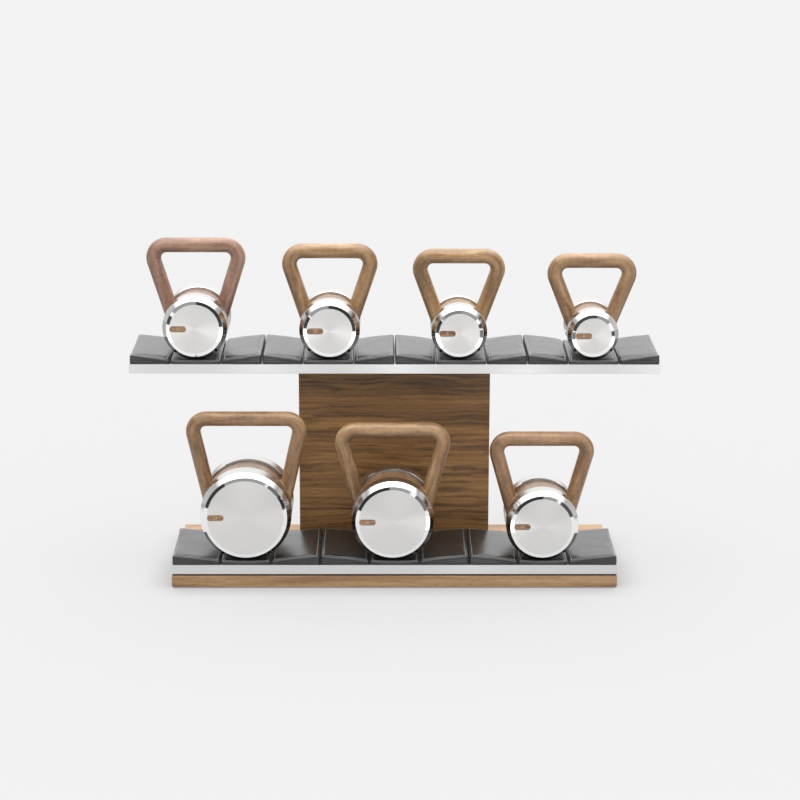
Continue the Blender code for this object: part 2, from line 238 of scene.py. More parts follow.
def turned_steel(name, colour):
    """Stainless steel faced on a lathe: concentric tool marks stretch each light into a fan from the centre."""
    mat, tree, shader = shaded_material(name)
    turned = add(tree, "ShaderNodeUVMap", uv_map="turned").outputs[0]
    # The map's second coordinate is the distance from the axis in metres. Tool marks are drawn about 0.5 mm apart.
    parts = add(tree, "ShaderNodeSeparateXYZ", {0: turned})
    marks = add(tree, "ShaderNodeTexNoise", {"W": parts.outputs[1], "Scale": 1900.0, "Detail": 3.0},
                noise_dimensions="1D").outputs["Fac"]
    tint = add(tree, "ShaderNodeMapRange", {"Value": marks, "To Min": 0.93, "To Max": 1.07})
    tinted = add(tree, "ShaderNodeVectorMath", {0: linear(colour)[:3], "Scale": tint.outputs[0]}, operation="SCALE")
    bump = add(tree, "ShaderNodeBump", {"Height": marks, "Distance": 0.00002, "Strength": 0.15})
    tangent = add(tree, "ShaderNodeTangent", direction_type="UV_MAP", uv_map="turned")
    feed(tree, shader, {
        "Base Color": tinted.outputs[0], "Normal": bump.outputs[0], "Tangent": tangent.outputs[0], "Metallic": 1.0,
        "Roughness": 0.3, "Anisotropic": 0.8, "Anisotropic Rotation": 0.25})
    return mat


def metal(name, colour, roughness, brushed=(60.0, 60.0, 60.0), streak=0.0):
    """A bare metal: brushed gives the scale of its marks along each axis, in marks for each metre."""
    mat, tree, shader = shaded_material(name)
    place = add(tree, "ShaderNodeTexCoord").outputs["Object"]
    marks_place = add(tree, "ShaderNodeMapping", {"Vector": place, "Scale": brushed})
    marks = add(tree, "ShaderNodeTexNoise", {"Vector": marks_place.outputs[0], "Scale": 1.0, "Detail": 3.0})
    tint, gloss = (
        add(tree, "ShaderNodeMapRange", {"Value": marks.outputs["Fac"], "From Min": 0.25, "From Max": 0.75,
                                         "To Min": low, "To Max": high})
        for low, high in ((1 - streak, 1 + streak), (roughness * 0.85, roughness * 1.15)))
    tinted = add(tree, "ShaderNodeVectorMath", {0: linear(colour)[:3], "Scale": tint.outputs[0]}, operation="SCALE")
    feed(tree, shader, {"Base Color": tinted.outputs[0], "Roughness": gloss.outputs[0], "Metallic": 1.0})
    return mat


def plain_finish(name, colour, roughness, grit, depth):
    """A coating, rubber or thread: one colour with a fine grit of that many grains for each metre."""
    mat, tree, shader = shaded_material(name)
    place = add(tree, "ShaderNodeTexCoord").outputs["Object"]
    grains = add(tree, "ShaderNodeTexNoise", {"Vector": place, "Scale": grit, "Detail": 3.0}).outputs["Fac"]
    tint = add(tree, "ShaderNodeMapRange", {"Value": grains, "To Min": 0.8, "To Max": 1.2})
    tinted = add(tree, "ShaderNodeVectorMath", {0: linear(colour)[:3], "Scale": tint.outputs[0]}, operation="SCALE")
    bump = add(tree, "ShaderNodeBump", {"Height": grains, "Distance": depth, "Strength": 0.4})
    feed(tree, shader, {"Base Color": tinted.outputs[0], "Normal": bump.outputs[0], "Roughness": roughness})
    return mat


# ---- sizes and colours a user would change ------------------------------------------------------

def length(name, description, default, low=0.0, high=1.0):
    return FloatProperty(name=name, description=description, default=default, min=low, max=high, unit="LENGTH",
                         precision=5)


def colour(name, description, default):
    return FloatVectorProperty(name=name, description=description, default=linear(default)[:3], size=3, min=0, max=1,
                               subtype="COLOR")


class PadSizes(bpy.types.PropertyGroup):
    """The leather pads on the shelves."""

    rolled_edge: length("Rolled edge", "How far the rounded edge reaches in from the pad's side", 0.005)
    seam_overhang: length("Seam overhang", "How far the top panel's seam stands past the side border", 0.0005)
    topstitch_inset: length("Topstitch inset", "From the pad's edge to the sewn line on its top", 0.0062)
    topstitch_depth: length("Topstitch depth", "How deep the sewn line pulls into the pad", 0.0005)
    stitch_pitch: length("Stitch pitch", "From one stitch to the next", 0.0052)
    stitch_length: length("Stitch length", "The length of thread that shows in each stitch", 0.0034)
    thread_radius: length("Thread radius", "Half the thread's thickness, drawn coarse so that it shows", 0.0006)
    wing_crown: length("Wing crown", "How far a wing's top bows up between its edges", 0.0010)
    swell: length("Swell", "The most that the stuffing may push the leather out", 0.0013)
    pressure: FloatProperty(name="Pressure", description="The stuffing's pressure in the cloth simulation",
                            default=4.0, min=0.0, max=20.0)


class BellSizes(bpy.types.PropertyGroup):
    """The kettlebells' handles, weights and inlays."""

    handle_diameter: length("Handle diameter", "The grip's thickness", 0.031)
    corner_radius: length("Corner radius", "The bend of the grip's centre line at each top corner", 0.027)
    leg_inset: length("Leg inset", "The leg's surface below the hub's rim where the two meet", 0.0025)
    hub_inset: length("Hub inset", "The hub's radius below the weights' radius", 0.0045)
    bore: length("Bore", "The radius of the hole for the tie stud", 0.0084)
    fillet_grain: length("Carving grain", "The size of the small blocks the handle is carved in", 0.0016)
    ring_width: length("Ring width", "The polished ring round the turned face", 0.0072)
    ring_fall: length("Ring fall", "How far the ring's outer edge falls back", 0.0012)
    bevel_width: length("Bevel width", "The bevel's width across the radius", 0.0083)
    bevel_length: length("Bevel length", "The bevel's length along the axis", 0.0125)
    inlay_length: length("Inlay length", "The pill inlay's length", 0.034)
    inlay_height: length("Inlay height", "The pill inlay's height", 0.0125)
    inlay_gap: length("Inlay gap", "The gap round the inlay", 0.0002)
    mark_height: length("Mark height", "The size of the inlay's number", 0.0085)
    sides: IntProperty(name="Sides", description="Flat sides round a turned weight", default=144, min=32, max=256)


class RackSizes(bpy.types.PropertyGroup):
    """The shelves, base and column."""

    metal_edge: length("Metal edge", "The rounding of the shelf plates' edges", 0.0006)
    veneer_edge: length("Veneer edge", "The easing of the veneered boards' edges", 0.0005)
    screw_head: length("Screw head", "The radius of the screws under the upper shelf", 0.0045)


class RackColours(bpy.types.PropertyGroup):
    """Plain colours. The timbers' ramps are in their materials."""

    leather: colour("Leather", "The pads' leather", "#151617")
    thread: colour("Thread", "The pads' stitching", "#b4b4b4")
    stainless: colour("Turned steel", "The weights' faces", "#d6d5d3")
    polished: colour("Polished steel", "The weights' rings and bevels", "#e6e5e4")
    aluminium: colour("Aluminium", "The shelf plates", "#d2d3d2")


def settings():
    scene = bpy.context.scene
    return scene.pad_sizes, scene.bell_sizes, scene.rack_sizes, scene.rack_colours


def to_hex(values):
    """A colour property back to sRGB hex, for the functions that take hex."""
    srgb = [12.92 * c if c <= 0.0031308 else 1.055 * c ** (1 / 2.4) - 0.055 for c in values]
    return "#" + "".join(f"{round(max(0, min(1, c)) * 255):02x}" for c in srgb)


# What makes each finish: its material's name, the function that builds it, and that function's values.
# A colour is sRGB hex, or the name of one of the RackColours.
COLUMN_VENEER = {"ramps": [("#5d4128", "#9a7042", "#b88a54")], "along": 0.30, "across": 0.0060, "wander": 0.030,
                 "roughness": 0.42}
FINISHES = {
    "handle": ("walnut handle, oiled", walnut, {
        "ramps": [("#684838", "#8d6955", "#a9846f"), ("#6f5232", "#98754b", "#b79367")],
        "along": 0.075, "across": 0.012, "wander": 0.014, "roughness": 0.34, "grain": "grain", "curl": 0.035}),
    "column": ("walnut veneer, dark oiled", walnut, COLUMN_VENEER),
    # The grain is still level on the column's sides.
    "column side": ("walnut veneer, dark oiled, side panels", walnut, {**COLUMN_VENEER, "turn": pi / 2}),
    "plank": ("walnut veneer, pale oiled", walnut, {
        "ramps": [("#8a6747", "#a98561", "#bd9b76")], "along": 0.30, "across": 0.010, "wander": 0.020,
        "roughness": 0.42}),
    "inlay": ("walnut inlay, oiled", walnut, {
        "ramps": [("#7d5c42", "#a17e60", "#b39372")], "along": 0.05, "across": 0.004, "wander": 0.003,
        "roughness": 0.45}),
    "mark": ("maple, pale inlaid", plain_finish, {
        "colour": "#d8b792", "roughness": 0.5, "grit": 900.0, "depth": 0.00003}),
    "pad": ("black leather, pebbled", leather, {"colour": "leather"}),
    "thread": ("polyester thread, grey", plain_finish, {
        "colour": "thread", "roughness": 0.6, "grit": 3000.0, "depth": 0.00005}),
    "faced": ("stainless steel, lathe faced", turned_steel, {"colour": "stainless"}),
    "polished": ("stainless steel, polished", metal, {"colour": "polished", "roughness": 0.05}),
    "satin": ("stainless steel, satin", metal, {"colour": "stainless", "roughness": 0.24}),
    "shelf": ("aluminium, satin anodised", metal, {
        "colour": "aluminium", "roughness": 0.38, "brushed": (6.0, 900.0, 900.0), "streak": 0.05}),
    "coating": ("powder coat, black", plain_finish, {
        "colour": "#1a1a1a", "roughness": 0.55, "grit": 1500.0, "depth": 0.00006}),
    "foot": ("rubber, black", plain_finish, {
        "colour": "#161616", "roughness": 0.8, "grit": 900.0, "depth": 0.0001}),
    "zinc": ("steel, zinc plated", metal, {"colour": "#b9bcc0", "roughness": 0.3, "streak": 0.06}),
}
MADE = {}


def finish(kind):
    """The material of that kind, made the first time it is asked for."""
    if kind not in MADE:
        name, maker, values = FINISHES[kind]
        own = values.get("colour", "#")
        if not own.startswith("#"):
            values = {**values, "colour": to_hex(getattr(settings()[3], own))}
        MADE[kind] = maker(name, **values)
    return MADE[kind]


# ---- mesh helpers -------------------------------------------------------------------------------

MERGE_DISTANCE = 1e-6     # corners closer than this are one


def in_scene(name, data):
    """A new object at the origin, in the scene."""
    made = bpy.data.objects.new(name, data)
    bpy.context.scene.collection.objects.link(made)
    return made


def add_piece(name, mesh, materials, body, replaced=()):
    """A finished piece in its place, riding on its body."""
    piece = in_scene(name, mesh)
    if materials:
        # Clearing the slots also resets every face to the first one.
        chosen = np.zeros(len(mesh.polygons), np.int32)
        mesh.polygons.foreach_get("material_index", chosen)
        mesh.materials.clear()
        for mat in materials:
            mesh.materials.append(mat)
        mesh.polygons.foreach_set("material_index", np.minimum(chosen, len(materials) - 1))
    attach(piece, body)
    if replaced:
        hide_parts(*replaced)
    return piece


def mesh_of(name, points, faces, smooth=False):
    mesh = bpy.data.meshes.new(name)
    mesh.from_pydata([tuple(p) for p in points], [], faces)
    mesh.polygons.foreach_set("use_smooth", [smooth] * len(faces))
    mesh.update()
    return mesh


def evaluated_mesh(piece, name):
    """What a piece's modifiers make of it, as a plain mesh."""
    graph = bpy.context.evaluated_depsgraph_get()
    mesh = bpy.data.meshes.new_from_object(piece.evaluated_get(graph), preserve_all_data_layers=True, depsgraph=graph)
    mesh.name = name
    return mesh


def finished_mesh(carrier, name):
    """What a carrier's modifiers make of it, as a plain mesh. The carrier is removed."""
    mesh = evaluated_mesh(carrier, name)
    carrier.modifiers.clear()
    bpy.data.objects.remove(carrier)
    return mesh


@contextmanager
def reworked(mesh, *sources):
    """Opens a mesh, or the sources that it is to be made from, and writes the result to the mesh."""
    bm = bmesh.new()
    for source in sources or (mesh,):
        bm.from_mesh(source)
    yield bm
    bm.to_mesh(mesh)
    bm.free()


def face_outwards(mesh):
    with reworked(mesh) as bm:
        bmesh.ops.recalc_face_normals(bm, faces=bm.faces)


def sharpen(mesh, limit):
    """Smooth faces, with a hard line where two of them meet at more than the limit in degrees."""
    with reworked(mesh) as bm:
        for face in bm.faces:
            face.smooth = True
        for edge in bm.edges:
            edge.smooth = edge.is_manifold and edge.calc_face_angle(pi) < radians(limit)


def eased(node, radius, name):
    """A CAD node's shape with its edges eased to that radius."""
    mesh = bpy.data.meshes.new(name)
    with reworked(mesh, NODES[node].data) as bm:
        bmesh.ops.remove_doubles(bm, verts=bm.verts, dist=MERGE_DISTANCE)
        bmesh.ops.dissolve_limit(bm, angle_limit=radians(1), verts=bm.verts, edges=bm.edges)
        sharp = [e for e in bm.edges if e.is_manifold and e.calc_face_angle(0) > radians(20)]
        bmesh.ops.bevel(bm, geom=sharp, offset=radius, segments=2, profile=0.5, affect="EDGES", clamp_overlap=True)
    return mesh


def cylinder_rings(profile, sides, centre, name):
    """A closed turned piece about a line along Y. profile is (radius, y) from pole to pole.

    Its UV map "turned" holds the angle and the distance from the axis.
    """
    points, faces, turned = [], [], []
    starts = []
    for radius, y in profile:
        starts.append(len(points))
        if radius == 0:
            points.append((centre[0], y, centre[2]))
            continue
        for i in range(sides):
            angle = 2 * pi * i / sides
            points.append((centre[0] + radius * cos(angle), y, centre[2] + radius * sin(angle)))
    for k in range(len(profile) - 1):
        (r0, _), (r1, _) = profile[k], profile[k + 1]
        for i in range(sides):
            j = (i + 1) % sides
            u0, u1 = i / sides, (i + 1) / sides
            a0, a1 = starts[k] + i, starts[k] + j
            b0, b1 = starts[k + 1] + i, starts[k + 1] + j
            if r0 == 0:
                faces.append((starts[k], b0, b1))
                turned += [((u0 + u1) / 2, r0), (u0, r1), (u1, r1)]
            elif r1 == 0:
                faces.append((a0, starts[k + 1], a1))
                turned += [(u0, r0), ((u0 + u1) / 2, r1), (u1, r0)]
            else:
                faces.append((a0, b0, b1, a1))
                turned += [(u0, r0), (u0, r1), (u1, r1), (u1, r0)]
    mesh = mesh_of(name, points, faces)
    layer = mesh.uv_layers.new(name="turned")
    layer.data.foreach_set("uv", np.array(turned, np.float32).ravel())
    return mesh


def set_attribute(mesh, name, kind, values):
    attribute = mesh.attributes.new(name, kind, "POINT")
    attribute.data.foreach_set("vector" if kind == "FLOAT_VECTOR" else "value", np.asarray(values, np.float32).ravel())


def bell_facts(number):
    """Where a kettlebell is: its axis, its weights' radius, and the front and back of each weight."""
    low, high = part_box(f"kettlebell_{number}_front_weight")
    rear_low, rear_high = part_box(f"kettlebell_{number}_rear_weight")
    handle_low, handle_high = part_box(f"kettlebell_{number}_handle")
    return {
        "radius": (high.z - low.z) / 2,
        "axis": ((low.x + high.x) / 2, (handle_low.y + handle_high.y) / 2, (low.z + high.z) / 2),
        "front": (low.y, high.y),
        "rear": (rear_low.y, rear_high.y),
        "width": handle_high.x - handle_low.x,
        "rise": handle_high.z - (low.z + high.z) / 2,
        "hub": (handle_low.y, handle_high.y),
    }


# ---- shelves, base and column -------------------------------------------------------------------

def board(name, node, edge, kind):
    """A flat piece of the rack in place of its CAD node, with its edges eased."""
    add_piece(name, eased(node, edge, name), [finish(kind)], "rack", [node])


class RACK_OT_shelves(bpy.types.Operator):
    """Make the two aluminium shelf plates with eased edges"""

    bl_idname = "rack.shelves"
    bl_label = "Shelf plates"

    def execute(self, context):
        for tier in STATIONS:
            board(f"{tier}_shelf", f"{tier}_shelf_plate", settings()[2].metal_edge, "shelf")
        return {"FINISHED"}


class RACK_OT_base(bpy.types.Operator):
    """Make the veneered base plank, its spacer and its rubber foot strips"""

    bl_idname = "rack.base"
    bl_label = "Base"

    def execute(self, context):
        edge = settings()[2].veneer_edge
        board("plank", "base_plank", edge, "plank")
        board("spacer", "base_spacer", edge, "coating")
        for side in ("front", "rear"):
            board(f"{side}_foot", f"{side}_foot_strip", edge, "foot")
        return {"FINISHED"}


class RACK_OT_column(bpy.types.Operator):
    """Make the column's veneered panels, and finish the steel frame inside it"""

    bl_idname = "rack.column"
    bl_label = "Column"

    def execute(self, context):
        edge = settings()[2].veneer_edge
        for side in ("front", "rear", "left", "right"):
            kind = "column side" if side in ("left", "right") else "column"
            board(f"column_{side}", f"column_{side}_panel", edge, kind)
        coat(NODES["mast_frame"], finish("coating"))
        return {"FINISHED"}


def coat(node, mat):
    """Gives a CAD node its finish."""
    if not node.material_slots:
        node.data.materials.append(mat)
    for slot in node.material_slots:
        slot.material = mat


# ---- Geometry Nodes -----------------------------------------------------------------------------

def new_node_group(name, sizes):
    """A geometry node group with a geometry input, named size inputs and a material input."""
    tree = bpy.data.node_groups.new(name, "GeometryNodeTree")
    tree.interface.new_socket("Geometry", in_out="INPUT", socket_type="NodeSocketGeometry")
    for size, default in sizes.items():
        socket = tree.interface.new_socket(size, in_out="INPUT", socket_type="NodeSocketFloat")
        socket.default_value = default
    tree.interface.new_socket("Material", in_out="INPUT", socket_type="NodeSocketMaterial")
    tree.interface.new_socket("Geometry", in_out="OUTPUT", socket_type="NodeSocketGeometry")
    return tree, add(tree, "NodeGroupInput")


def close_group(tree, given, shape):
    """Ends a group: its instances become real and take the group's material."""
    real = add(tree, "GeometryNodeRealizeInstances", {0: shape})
    coloured = add(tree, "GeometryNodeSetMaterial", {
        "Geometry": real.outputs[0], "Material": given.outputs["Material"]})
    add(tree, "NodeGroupOutput", {0: coloured.outputs[0]})
    return tree


def stitch_nodes(pitch, stitch, radius):
    """Stitches of thread along every line of a mesh, each leaning a little at random."""
    tree, given = new_node_group("stitches", {"Pitch": pitch, "Stitch Length": stitch, "Thread Radius": radius})
    line = add(tree, "GeometryNodeMeshToCurve", {0: given.outputs["Geometry"]})
    spaced = add(tree, "GeometryNodeResampleCurve", {"Curve": line.outputs[0], "Length": given.outputs["Pitch"]},
                 mode="LENGTH")
    thread = add(tree, "GeometryNodeMeshUVSphere", {"Segments": 6, "Rings": 5, "Radius": 1.0})
    half = add(tree, "ShaderNodeMath", {0: given.outputs["Stitch Length"], 1: 0.5}, operation="MULTIPLY")
    thickness = given.outputs["Thread Radius"]
    shape = add(tree, "ShaderNodeCombineXYZ", {"X": thickness, "Y": thickness, "Z": half.outputs[0]})
    shaped = add(tree, "GeometryNodeTransform", {"Geometry": thread.outputs["Mesh"], "Scale": shape.outputs[0]})
    tangent = add(tree, "GeometryNodeInputTangent")
    lean = add(tree, "FunctionNodeRandomValue", {0: (-0.12, -0.12, -0.05), 1: (0.12, 0.12, 0.05), "Seed": 7},
               data_type="FLOAT_VECTOR")
    leaning = add(tree, "ShaderNodeVectorMath", {0: tangent.outputs[0], 1: lean.outputs[0]}, operation="ADD")
    aligned = add(tree, "FunctionNodeAlignEulerToVector", {"Vector": leaning.outputs[0]}, axis="Z")
    placed = add(tree, "GeometryNodeInstanceOnPoints", {
        "Points": spaced.outputs[0], "Instance": shaped.outputs[0], "Rotation": aligned.outputs[0]})
    return close_group(tree, given, placed.outputs[0])


def bar_nodes(radius, facets):
    """A round bar along every line of a mesh."""
    tree, given = new_node_group("round bar", {"Radius": radius})
    line = add(tree, "GeometryNodeMeshToCurve", {0: given.outputs["Geometry"]})
    section = add(tree, "GeometryNodeCurvePrimitiveCircle", {"Resolution": facets, "Radius": given.outputs["Radius"]})
    bar = add(tree, "GeometryNodeCurveToMesh", {
        "Curve": line.outputs[0], "Profile Curve": section.outputs[0], "Fill Caps": True})
    return close_group(tree, given, bar.outputs[0])


def screw_nodes(radius):
    """A button head with a hexagon socket at every point of a mesh, facing down."""
    tree, given = new_node_group("screw heads", {"Head Radius": radius})
    head = add(tree, "GeometryNodeMeshUVSphere", {"Segments": 32, "Rings": 16, "Radius": given.outputs["Head Radius"]})
    flat = add(tree, "GeometryNodeTransform", {"Geometry": head.outputs["Mesh"], "Scale": (1.0, 1.0, 0.5)})
    socket = add(tree, "GeometryNodeMeshCylinder", {"Vertices": 6, "Radius": 0.0018, "Depth": 0.003})
    lowered = add(tree, "GeometryNodeTransform", {"Geometry": socket.outputs["Mesh"], "Translation": (0, 0, -0.0022)})
    cut = add(tree, "GeometryNodeMeshBoolean", {"Mesh 1": flat.outputs[0], "Mesh 2": lowered.outputs[0]},
              operation="DIFFERENCE")
    placed = add(tree, "GeometryNodeInstanceOnPoints", {
        "Points": given.outputs["Geometry"], "Instance": cut.outputs[0]})
    return close_group(tree, given, placed.outputs[0])


def grown(name, points, edges, tree, mat):
    """The plain mesh that a node group makes from points and lines."""
    source = bpy.data.meshes.new(name)
    source.from_pydata([tuple(p) for p in points], edges, [])
    carrier = in_scene(name, source)
    modifier = carrier.modifiers.new("nodes", "NODES")
    modifier.node_group = tree
    for item in tree.interface.items_tree:
        if item.item_type == "SOCKET" and item.in_out == "INPUT" and item.socket_type == "NodeSocketMaterial":
            modifier[item.identifier] = mat
    mesh = finished_mesh(carrier, name)
    bpy.data.meshes.remove(source)
    mesh.name = name
    return mesh


# ---- leather pads -------------------------------------------------------------------------------

PAD_KINDS = ("left_wing", "seat", "right_wing")
GRID_X, GRID_Y = 0.0032, 0.0040     # the pads' grid away from their edges
GROOVE_WIDTH = 0.0006               # the sewn line's pull on either side of it
CLOTH_VOXEL = 0.0042
CLOTH_FRAMES = 20
GLUED_HEIGHT = 0.0022               # the leather is glued down below this
UNDER_WEIGHT = 0.0002               # what a pad keeps clear of the weight on it
LEAST_HEIGHT = 0.0020               # a pad is never pressed thinner than this
LEAN_OF_REST = 0.22                 # how steeply a pad may rise beside a weight's end
BORDER_FOOT = 0.0012                # the border's foot doesn't move
PUCKER_DEPTH, PUCKER_SCALE, PUCKER_REACH = 0.00022, 190, 0.004
SAG_DEPTH, SAG_SCALE, SAG_INSET = 0.00035, 28, 0.012

def pad_names():
    """(node, kind, tier, station) for each of the pads."""
    for tier, stations in STATIONS.items():
        for station in range(1, stations + 1):
            for kind in PAD_KINDS:
                yield f"{tier}_{kind}_{station}", kind, tier, station


def pad_shape(node, kind):
    """A pad's box, and its top's height as a function of x."""
    sizes = settings()[0]
    low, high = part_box(node)
    corners = [v.co for v in NODES[node].data.vertices]

    def height_near(x):
        near_enough = 0.002
        return max(v.z for v in corners if abs(v.x - x) < near_enough)

    left, right = height_near(low.x), height_near(high.x)
    if kind == "seat":
        middle = height_near((low.x + high.x) / 2)

        def top(x):
            across = 2 * (x - low.x) / (high.x - low.x) - 1
            return middle + (left - middle) * across * across
    else:
        def top(x):
            across = (x - low.x) / (high.x - low.x)
            return left + (right - left) * across + sizes.wing_crown * sin(pi * across)
    return low, high, top


def insets_between(start, end, rim, step):
    """Places from one edge to the other, close together at the rolled edge and the sewn line."""
    sizes = settings()[0]
    near = [share * rim for share in (0, 0.08, 0.22, 0.38, 0.58, 0.79, 1.0)]
    sewn = sizes.topstitch_inset
    near += [sewn - GROOVE_WIDTH, sewn, sewn + GROOVE_WIDTH, sewn + 0.0016, sewn + 0.0034]
    inner = (end - start) - 2 * near[-1]
    count = max(2, round(inner / step))
    middle = [near[-1] + inner * i / count for i in range(1, count)]
    return [start + n for n in near] + [start + m for m in middle] + [end - n for n in reversed(near)]


def round_corner(a, b):
    """Maps the unit square to a quarter disc, so that the rolled edges meet in a rounded corner."""
    reach = max(a, b)
    if reach == 0:
        return 0.0, 0.0
    angle = (b / a) * pi / 4 if a >= b else pi / 2 - (a / b) * pi / 4
    return reach * cos(angle), reach * sin(angle)


def pad_mesh(node, kind, name, sewn=True):
    """A pad as a closed grid: a sloping or hollow top, rolled edges down to a seam, and a border under it."""
    sizes = settings()[0]
    low, high, top = pad_shape(node, kind)
    rim = sizes.rolled_edge
    xs = insets_between(low.x, high.x, rim, GRID_X)
    ys = insets_between(low.y, high.y, rim, GRID_Y)
    points, index = [], {}
    for i, x in enumerate(xs):
        for j, y in enumerate(ys):
            dx, dy = min(x - low.x, high.x - x), min(y - low.y, high.y - y)
            a, b = max(0.0, 1 - dx / rim), max(0.0, 1 - dy / rim)
            ra, rb = round_corner(a, b)
            px = x + (1 if x < (low.x + high.x) / 2 else -1) * rim * (a - ra)
            py = y + (1 if y < (low.y + high.y) / 2 else -1) * rim * (b - rb)
            full = top(px)
            roll = min(rim, 0.55 * (full - low.z))
            drop = roll * (1 - sqrt(max(0.0, 1 - ra * ra - rb * rb)))
            edge = min(px - low.x, high.x - px, py - low.y, high.y - py)
            groove = 0.0
            if sewn:
                groove = sizes.topstitch_depth * exp(-((edge - sizes.topstitch_inset) / GROOVE_WIDTH) ** 2)
            index[i, j] = len(points)
            points.append(Vector((px, py, full - drop - groove)))
    faces = []
    nx, ny = len(xs), len(ys)
    for i in range(nx - 1):
        for j in range(ny - 1):
            faces.append((index[i, j], index[i + 1, j], index[i + 1, j + 1], index[i, j + 1]))
    loop = [(i, 0) for i in range(nx - 1)] + [(nx - 1, j) for j in range(ny - 1)]
    loop += [(i, ny - 1) for i in range(nx - 1, 0, -1)] + [(0, j) for j in range(ny - 1, 0, -1)]
    rim_points = [points[index[k]] for k in loop]
    count = len(loop)
    outward = []
    for k in range(count):
        along = rim_points[(k + 1) % count] - rim_points[k - 1]
        outward.append(Vector((along.y, -along.x, 0)).normalized())
    over = sizes.seam_overhang
    previous = [index[k] for k in loop]
    # Under the seam: in to the border, down it with a slight bulge, and in under the pad.
    steps = [(over, lambda z: z - 0.00045), (over * 1.1, lambda z: z - 0.0010),
             (over * 0.6, lambda z: low.z + 0.5 * (z - low.z)), (over * 0.9, lambda z: low.z + 0.0009),
             (0.0014, lambda z: low.z)]
    for inset, level in steps:
        ring = []
        for point, normal in zip(rim_points, outward):
            z = max(level(point.z), low.z)
            ring.append(len(points))
            points.append(Vector((point.x - normal.x * inset, point.y - normal.y * inset, z)))
        for k in range(count):
            j = (k + 1) % count
            faces.append((previous[k], ring[k], ring[j], previous[j]))
        previous = ring
    faces.append(tuple(reversed(previous)))
    return mesh_of(name, points, faces, smooth=True)


def stuff_prototypes():
    """Swells one pad of each shape with the cloth simulation.

    Returns, for each tier and kind, a tree of resting points and how far each one moved.
    """
    sizes = settings()[0]
    scene = bpy.context.scene
    parts = [(tier, kind, pad_mesh(f"{tier}_{kind}_1", kind, "stuffing", sewn=False))
             for tier in STATIONS for kind in PAD_KINDS]
    joined = bpy.data.meshes.new("stuffing")
    with reworked(joined, *(mesh for _, _, mesh in parts)):
        pass
    cushion = in_scene("stuffing", joined)
    remesh = cushion.modifiers.new("remesh", "REMESH")
    remesh.mode = "VOXEL"
    remesh.voxel_size = CLOTH_VOXEL
    coarse = evaluated_mesh(cushion, "stuffing_cloth")
    cushion.modifiers.clear()
    cushion.data = coarse
    start = np.array([v.co for v in coarse.vertices])
    glued = cushion.vertex_groups.new(name="glued")
    base_of = {tier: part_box(f"{tier}_seat_1")[0].z for tier in STATIONS}
    middle = (base_of["upper"] + base_of["lower"]) / 2
    for i, point in enumerate(start):
        base = base_of["upper"] if point[2] > middle else base_of["lower"]
        if point[2] < base + GLUED_HEIGHT:
            glued.add([i], 1.0, "REPLACE")
    cloth = cushion.modifiers.new("cloth", "CLOTH")
    cloth.settings.vertex_group_mass = "glued"
    cloth.settings.use_pressure = True
    cloth.settings.uniform_pressure_force = sizes.pressure
    cloth.settings.effector_weights.gravity = 0.0
    cloth.settings.quality = 5
    cloth.point_cache.frame_start = 1
    cloth.point_cache.frame_end = CLOTH_FRAMES
    for step in range(1, CLOTH_FRAMES + 1):
        scene.frame_set(step)
        bpy.context.view_layer.update()
    swollen = evaluated_mesh(cushion, "stuffing_done")
    moved = np.array([v.co for v in swollen.vertices]) - start
    scene.frame_set(1)
    cushion.modifiers.clear()
    bpy.data.objects.remove(cushion)
    far = np.linalg.norm(moved, axis=1)
    moved *= (np.minimum(far, sizes.swell) / np.maximum(far, 1e-9))[:, None]
    fields = {}
    aside, above = 0.001, 0.004     # how far outside its pad's box a point of the cloth may be
    for tier, kind, _ in parts:
        low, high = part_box(f"{tier}_{kind}_1")
        mine = [i for i, p in enumerate(start)
                if low.x - aside <= p[0] <= high.x + aside and low.z - above <= p[2] <= high.z + above]
        tree = KDTree(len(mine))
        for i in mine:
            tree.insert(start[i], i)
        tree.balance()
        fields[tier, kind] = (tree, moved)
    return fields


def weight_floor(x, y, z):
    """The lowest height that the weights standing on a pad reach over a point, or None."""
    lowest = None
    for facts in BELL_FACTS.values():
        (cx, _, cz), radius = facts["axis"], facts["radius"]
        if abs(x - cx) >= radius or abs(cz - radius - z) > 0.03:
            continue
        for near, far in (facts["front"], facts["rear"]):
            away = max(near - y, y - far, 0.0)
            if away < 0.010:
                height = cz - sqrt(radius ** 2 - (x - cx) ** 2) + away * LEAN_OF_REST
                lowest = height if lowest is None else min(lowest, height)
    return lowest


